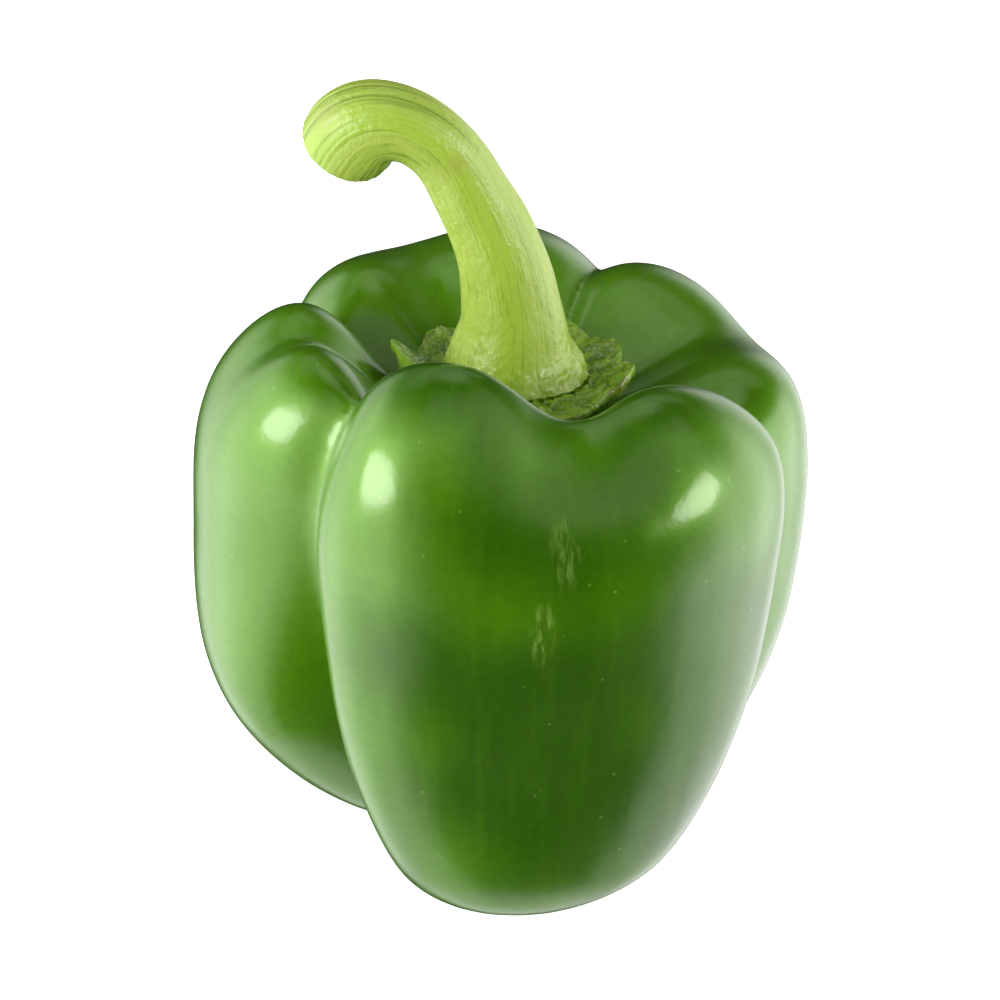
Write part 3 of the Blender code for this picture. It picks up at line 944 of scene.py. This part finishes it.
def stem_finish(settings):
    """Pale yellow-green stem: a broad greener stripe, fine darker fibres and threads, painted shade in the
    hollows between them, brownish flushes, greener patches at the foot, a pebbled gloss, and a paler cut
    face."""
    n = Nodes(bpy.data.materials.new("stem_green"), settings.pale_green)
    place = n.objects()
    fibre = n.attribute("fibre", "Vector")
    fine = n.noise(fibre, FINE_SCALE, 3.0, 0.6)
    broad = n.noise(fibre, BROAD_SCALE)
    stripe = n.maths("ADD", n.attribute("stripe"), n.centred(broad, 0.25))
    n.paint(n.ramp(stripe, 0.87, 1.02, 0.0, 0.75), settings.stripe_green)
    n.paint(n.ramp(broad, 0.5, 0.75, 0.0, 0.2), settings.stripe_green)
    n.paint(n.ramp(fine, 0.5, 0.66, 0.0, 0.4), settings.stripe_green)
    # painted shade in the hollows between the fibres
    n.paint(n.ramp(n.attribute("hollow_shade"), 0.6, 1.0, 0.0, 0.6), settings.thread_and_shade_green)
    threads = n.maths("ABSOLUTE", n.centred(n.noise(fibre, THREAD_SCALE, 2.0, 0.5, 0.4)))
    n.paint(n.ramp(threads, 0.004, 0.022, 0.4, 0.0), settings.thread_and_shade_green)
    for x, y, z, reach, strength in FLUSHES:
        away = n.maths("ADD", n.distance(place, (x, y, z), (reach,) * 3), n.centred(fine, 1.5))
        n.paint(n.ramp(away, 0.1, 1.0, strength, 0.0), settings.flush_colour)
    n.paint(n.ramp(n.attribute("cut"), 0.05, 0.3), settings.cut_colour)
    wilt = n.times(n.attribute("foot"), n.ramp(n.noise(place, WILT_SCALE), 0.35, 0.6))
    n.paint(n.times(wilt, 0.7), settings.foot_green)
    pebbles = n.noise(place, STEM_PEBBLE_SCALE, 3.0, 0.6)
    normal = n.bump(fine, FINE_HEIGHT, n.bump(pebbles, STEM_PEBBLE_HEIGHT))
    return n.finish(
        Roughness=n.ramp(pebbles, 0.3, 0.7, 0.44, 0.26), Normal=normal, IOR=1.42, Coat_Weight=0.15,
        Coat_Roughness=0.2, Coat_IOR=1.4, Coat_Normal=normal, Subsurface_Weight=0.15,
        Subsurface_Scale=0.002, Subsurface_Radius=(0.8, 1.0, 0.3),
    )


# --- Settings that a user would change ---


def amount_setting(name, description, default, **options):
    """A number that isn't negative."""
    return FloatProperty(name=name, description=description, default=default, min=0.0, **options)


def length_setting(name, description, default):
    """A length in metres, shown in the scene's units."""
    return amount_setting(name, description, default, unit="LENGTH", precision=5)


def share_setting(name, description, default):
    """A number between 0 and 1."""
    return amount_setting(name, description, default, max=1.0, subtype="FACTOR")


def colour_setting(name, description, default):
    """A linear colour."""
    limits = {"subtype": "COLOR", "size": 3, "min": 0.0, "max": 1.0}
    return FloatVectorProperty(name=name, description=description, default=default, **limits)


class FruitSettings(PropertyGroup):
    """Sizes and colours of the fruit."""

    waviness: length_setting("Waviness", "Height of the slow unevenness of the skin", 0.00016)
    rib_height: length_setting("Rib height", "Height of the faint ribs that run down from the stem", 0.00003)
    seam_depth: length_setting("Seam depth", "Depth of the puckered seams in the grooves", 0.00007)
    gloss_roughness: share_setting("Skin roughness", "Roughness of the skin under its waxy coat", 0.36)
    # the darker green of the painted shade on the front lobe and crest, and of the darker patches
    deep_and_shade_green: colour_setting("Deep green", "Colour of the darker patches", (0.0155, 0.062, 0.0003))
    leaf_green: colour_setting("Leaf green", "Colour of the lighter patches", (0.051, 0.148, 0.0005))
    yellow_green: colour_setting("Yellow green", "Colour of the paler streaks", (0.070, 0.170, 0.0030))
    speck_colour: colour_setting("Specks", "Colour of the small pale specks", (0.25, 0.42, 0.10))
    scuff_colour: colour_setting("Scuffs", "Colour of the dull scuffs", (0.20, 0.32, 0.06))
    seam_colour: colour_setting("Seams", "Colour of the puckered seams", (0.16, 0.25, 0.07))


class CalyxSettings(PropertyGroup):
    """Sizes and colours of the calyx."""

    wrinkle: length_setting("Wrinkle height", "Height of the folds in the calyx", 0.0007)
    green: colour_setting("Green", "Main colour", (0.115, 0.225, 0.006))
    pale_green: colour_setting("Pale green", "Colour of the paler patches", (0.210, 0.360, 0.020))
    # colour of the painted shade in the creases and under the calyx
    crease_shade_colour: colour_setting("Creases", "Colour down in the creases", (0.060, 0.140, 0.005))
    edge_colour: colour_setting("Edge", "Colour of the dried edge", (0.140, 0.120, 0.030))


class StemSettings(PropertyGroup):
    """Sizes and colours of the stem."""

    fibre_height: length_setting("Fibre height", "Height of the fibres, most at the cut end", 0.00009)
    ridge_height: length_setting("Ridge height", "Height of the soft ridges along the stem", 0.00012)
    pebble_height: length_setting("Pebble height", "Height of the pebbles on the lower stem", 0.00005)
    skirt_height: length_setting("Skirt height", "Height of the bumps at the stem's foot", 0.0002)
    pale_green: colour_setting("Pale green", "Main colour", (0.285, 0.38, 0.056))
    stripe_green: colour_setting("Stripes", "Colour of the greener stripes", (0.25, 0.385, 0.028))
    # colour of the darker threads, and of the painted shade between the fibres
    thread_and_shade_green: colour_setting("Folds", "Colour between the fibres", (0.10, 0.19, 0.008))
    foot_green: colour_setting("Foot", "Colour of the patches at the foot", (0.16, 0.28, 0.012))
    flush_colour: colour_setting("Flushes", "Colour of the brownish flushes", (0.28, 0.21, 0.05))
    cut_colour: colour_setting("Cut face", "Colour of the cut end", (0.50, 0.55, 0.30))


class StudioSettings(PropertyGroup):
    """The floor, the light and the camera."""

    floor_colour: colour_setting("Floor", "Colour of the floor", (0.80, 0.80, 0.80))
    floor_glow: amount_setting("Floor glow", "Light that the floor gives of its own", 0.8)
    ambient: amount_setting("Ambient", "Even light from everywhere", 0.015)
    lamp_brightness: amount_setting("Lamp brightness", "Watts for each square metre of width by height", 33.0)
    panel_strength: amount_setting("Panel strength", "Brightness of the soft panels", 1.0)


# --- Studio ---

# The camera: where it looks and how far it stands, in millimetres, its way, its lens and its sensor
CAMERA_TARGET = (-0.12, -2.3, 51.97)
CAMERA_DISTANCE = 450.0
CAMERA_AZIMUTH = -90.0
CAMERA_ELEVATION = 29.92
CAMERA_LENS = 112.9
CAMERA_SENSOR = 36.0
# The lamps, in metres and degrees: name, azimuth, elevation and width. They are equally far and equally high.
STUDIO_MIDDLE = Vector((0.0, 0.0, 0.055))
LAMPS = (("left_lamp", -147.0, 17.0, 0.50), ("right_lamp", -37.0, 19.0, 0.38))
LAMP_DISTANCE = 0.9
LAMP_HEIGHT = 0.28
FLOOR_REACH = 8.0
FLOOR_CORNERS = ((-1, -1), (1, -1), (1, 1), (-1, 1))
# The studio's soft panels: azimuth, elevation, half width, half height and fade in degrees, and brightness.
# There is a wide one on each side with a brighter one in it, one overhead, one high at the back, a dim one
# above the camera, and a white sheet below.
PANELS = (
    (180.0, -12.0, 50.0, 50.0, 28.0, 1.65),
    (-158.0, 0.0, 40.0, 34.0, 30.0, 2.1),
    (22.0, -18.0, 52.0, 42.0, 24.0, 1.3),
    (-4.0, -4.0, 32.0, 32.0, 28.0, 2.4),
    (0.0, 90.0, 180.0, 15.0, 12.0, 1.4),
    (115.0, 62.0, 80.0, 12.0, 16.0, 0.8),
    (-70.0, 44.0, 56.0, 14.0, 16.0, 0.9),
    (0.0, -90.0, 180.0, 24.0, 14.0, 1.2),
)


def direction(azimuth, elevation):
    """The unit vector that points to this azimuth and elevation."""
    a, e = math.radians(azimuth), math.radians(elevation)
    return Vector((math.cos(a) * math.cos(e), math.sin(a) * math.cos(e), math.sin(e)))


def oval_lamp(name, azimuth, elevation, width, brightness):
    """An oval area light that faces the pepper from this direction, and that the camera doesn't see."""
    data = bpy.data.lights.new(name, "AREA")
    data.shape = "ELLIPSE"
    data.size = width
    data.size_y = LAMP_HEIGHT
    data.energy = brightness * width * LAMP_HEIGHT
    lamp = bpy.data.objects.new(name, data)
    way = direction(azimuth, elevation)
    lamp.location = STUDIO_MIDDLE + way * LAMP_DISTANCE
    lamp.rotation_euler = (-way).to_track_quat("-Z", "Y").to_euler()
    lamp.visible_camera = False
    bpy.context.scene.collection.objects.link(lamp)


def floor_finish(settings):
    """A matt floor that looks nearly white with a soft shadow, and lets the light from below through."""
    n = Nodes(bpy.data.materials.new("studio_floor"))
    n.tree.nodes.clear()
    matt = n.add("ShaderNodeBsdfDiffuse", {"Color": settings.floor_colour})
    glow = n.add("ShaderNodeEmission", {"Color": WHITE, "Strength": settings.floor_glow})
    seen = n.add("ShaderNodeAddShader", {0: matt, 1: glow})
    clear = n.add("ShaderNodeBsdfTransparent")
    camera = n.add("ShaderNodeLightPath", output="Is Camera Ray")
    pick = n.add("ShaderNodeMixShader", {0: camera, 1: clear, 2: seen})
    return n.show("ShaderNodeOutputMaterial", pick)


def studio_world(settings):
    """White where the camera sees it. For everything else it holds soft panels: each is bright where the
    direction is within its half width and half height of its middle, and its edges fade."""
    n = Nodes(bpy.data.worlds.new("studio"))
    n.tree.nodes.clear()

    def inside(distance, half, fade):
        return n.ramp(distance, math.radians(half - fade / 2.0), math.radians(half + fade / 2.0), 1.0, 0.0)

    way = n.add("ShaderNodeTexCoord", output="Generated")
    x, y, z = n.add("ShaderNodeSeparateXYZ", {0: way}).node.outputs
    azimuth = n.maths("ARCTAN2", y, x)
    elevation = n.maths("ARCSINE", z)
    light = settings.ambient
    for panel_azimuth, panel_elevation, half_width, half_height, fade, radiance in PANELS:
        rise = n.maths("SUBTRACT", elevation, math.radians(panel_elevation))
        turn = n.maths("SUBTRACT", azimuth, math.radians(panel_azimuth))
        aside = n.maths("ABSOLUTE", n.maths("WRAP", turn, math.pi, -math.pi))
        share = n.times(inside(aside, half_width, fade), inside(n.maths("ABSOLUTE", rise), half_height, fade))
        light = n.maths("ADD", light, n.times(share, radiance * settings.panel_strength))
    dim = n.add("ShaderNodeBackground", {"Color": WHITE, "Strength": light})
    white = n.add("ShaderNodeBackground", {"Color": WHITE, "Strength": 1.0})
    seen = n.add("ShaderNodeLightPath", output="Is Camera Ray")
    pick = n.add("ShaderNodeMixShader", {0: seen, 1: dim, 2: white})
    return n.show("ShaderNodeOutputWorld", pick)


def add_floor(settings):
    """A square floor, kept out of the pepper's own pieces."""
    mesh = bpy.data.meshes.new("studio_floor")
    corners = [(x * FLOOR_REACH, y * FLOOR_REACH, 0.0) for x, y in FLOOR_CORNERS]
    mesh.from_pydata(corners, [], [(0, 1, 2, 3)])
    mesh.materials.append(floor_finish(settings))
    floor = bpy.data.objects.new("studio_floor", mesh)
    bpy.context.scene.collection.objects.link(floor)


def add_camera():
    """The camera, which looks down at the pepper from its front."""
    data = bpy.data.cameras.new("studio_camera")
    data.lens = CAMERA_LENS
    data.sensor_width = CAMERA_SENSOR
    camera = bpy.data.objects.new("studio_camera", data)
    back = direction(CAMERA_AZIMUTH, CAMERA_ELEVATION)
    camera.location = (Vector(CAMERA_TARGET) + back * CAMERA_DISTANCE) * MM
    camera.rotation_euler = (-back).to_track_quat("-Z", "Y").to_euler()
    bpy.context.scene.collection.objects.link(camera)
    bpy.context.scene.camera = camera


# --- Operators ---


class PEPPER_OT_fruit(Operator):
    """Build the lobed fruit"""

    bl_idname = "pepper.fruit"
    bl_label = "Fruit"

    def execute(self, context):
        settings = context.scene.pepper_fruit
        make_piece("glossy_fruit", *fruit_surface(settings), skin_finish(settings), "fruit", "fruit_skin")
        return {"FINISHED"}


class PEPPER_OT_calyx(Operator):
    """Build the wrinkled calyx in the crown"""

    bl_idname = "pepper.calyx"
    bl_label = "Calyx"

    def execute(self, context):
        settings = context.scene.pepper_calyx
        make_piece("wrinkled_calyx", *calyx_surface(settings), calyx_finish(settings), "calyx", "calyx_green")
        return {"FINISHED"}


class PEPPER_OT_stem(Operator):
    """Build the curved, cut stem"""

    bl_idname = "pepper.stem"
    bl_label = "Stem"

    def execute(self, context):
        settings = context.scene.pepper_stem
        make_piece("curved_stem", *stem_surface(settings), stem_finish(settings), "stem", "stem_green")
        return {"FINISHED"}


class PEPPER_OT_studio(Operator):
    """Set up the floor, the light and the camera"""

    bl_idname = "pepper.studio"
    bl_label = "Studio"

    def execute(self, context):
        settings = context.scene.pepper_studio
        add_floor(settings)
        context.scene.world = studio_world(settings)
        for name, azimuth, elevation, width in LAMPS:
            oval_lamp(name, azimuth, elevation, width, settings.lamp_brightness)
        add_camera()
        context.scene.view_settings.view_transform = "Standard"
        return {"FINISHED"}


class PEPPER_PT_panel(Panel):
    """The pepper's pieces in the sidebar"""

    bl_idname = "PEPPER_PT_panel"
    bl_label = "Bell pepper"
    bl_space_type = "VIEW_3D"
    bl_region_type = "UI"
    bl_category = "Pepper"

    def draw(self, context):
        for operator, group in PARTS:
            self.layout.operator(operator.bl_idname)
            settings = getattr(context.scene, group)
            for name in settings.__annotations__:
                self.layout.prop(settings, name)


PARTS = (
    (PEPPER_OT_fruit, "pepper_fruit"),
    (PEPPER_OT_calyx, "pepper_calyx"),
    (PEPPER_OT_stem, "pepper_stem"),
    (PEPPER_OT_studio, "pepper_studio"),
)
GROUPS = {
    "pepper_fruit": FruitSettings,
    "pepper_calyx": CalyxSettings,
    "pepper_stem": StemSettings,
    "pepper_studio": StudioSettings,
}


def register():
    """Registers the settings, the operators and the panel."""
    for name, group in GROUPS.items():
        bpy.utils.register_class(group)
        setattr(bpy.types.Scene, name, PointerProperty(type=group))
    for operator, _ in PARTS:
        bpy.utils.register_class(operator)
    bpy.utils.register_class(PEPPER_PT_panel)


def unregister():
    """Takes the panel, the operators and the settings away again."""
    bpy.utils.unregister_class(PEPPER_PT_panel)
    for operator, _ in reversed(PARTS):
        bpy.utils.unregister_class(operator)
    for name, group in reversed(GROUPS.items()):
        delattr(bpy.types.Scene, name)
        bpy.utils.unregister_class(group)


def main():
    """Builds every piece and the studio."""
    register()
    bpy.ops.pepper.fruit()
    bpy.ops.pepper.calyx()
    bpy.ops.pepper.stem()
    bpy.ops.pepper.studio()


if __name__ == "__main__":
    main()
